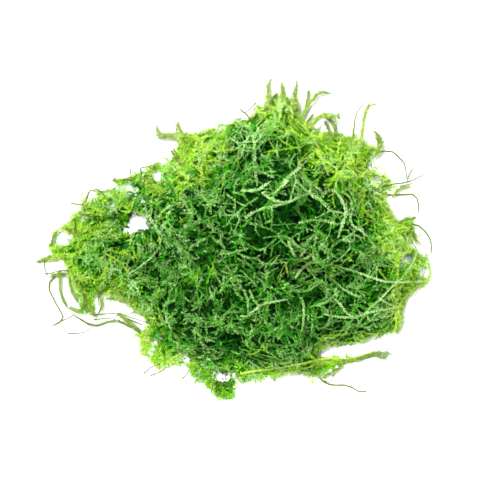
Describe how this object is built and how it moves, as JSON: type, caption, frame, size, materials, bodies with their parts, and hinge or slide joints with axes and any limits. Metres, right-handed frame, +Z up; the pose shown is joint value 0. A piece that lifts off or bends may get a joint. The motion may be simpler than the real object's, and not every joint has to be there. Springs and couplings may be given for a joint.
{
  "type": "moss clump",
  "caption": "Loose palm-size clump of thread-like aquatic moss: a low tangle of leafy shoots in knotted tufts, with single strands straying from its rim, resting on a surface.",
  "frame": {"origin": "under the middle of the clump's box, on the surface it lies on", "axes": "+X along the clump's longest side, +Y to the back, +Z up out of the surface"},
  "size_m": [0.119, 0.0964, 0.0376],
  "materials": {
    "fresh_moss": "bright yellow-green leafy shoots, damp, slightly glossy and thin enough for light to pass",
    "deep_moss": "older deep green leafy shoots, damp, with pale glints on the leaves",
    "loose_strand": "single leafy shoots, pale yellow-green with an olive stem",
    "bare_stem": "thin olive-brown stems with few leaves left"
  },
  "bodies": {
    "root": {"tuft_middle": "deep_moss", "tuft_middle_right": "deep_moss", "tuft_back": "fresh_moss", "tuft_back_left": "fresh_moss", "tuft_back_right": "fresh_moss", "tuft_left_shoulder": "deep_moss", "tuft_left_back": "fresh_moss", "tuft_left_front": "fresh_moss", "tuft_right": "fresh_moss", "tuft_front_right": "fresh_moss", "tuft_front": "fresh_moss", "tuft_front_left": "deep_moss", "tuft_front_left_rim": "fresh_moss", "tuft_front_tip": "fresh_moss", "strand_back_spike_left": "loose_strand", "strand_back_spike_middle": "loose_strand", "strand_back_spike_right": "loose_strand", "strand_back_hook": "loose_strand", "strand_back_curl": "loose_strand", "strand_back_right_stem": "loose_strand", "strand_back_right_spike": "loose_strand", "strand_front_right": "loose_strand", "strand_front_left_bridge": "loose_strand", "strand_left_tip": "loose_strand", "strand_back_left_hand": "loose_strand", "strand_back_right_fork": "bare_stem", "strand_right_arc": "bare_stem", "strand_right_branch": "bare_stem", "strand_right_hook": "bare_stem", "strand_right_rim": "bare_stem", "strand_front_straggler": "bare_stem", "strand_left_front_stem": "bare_stem"}
  },
  "joints": []
}
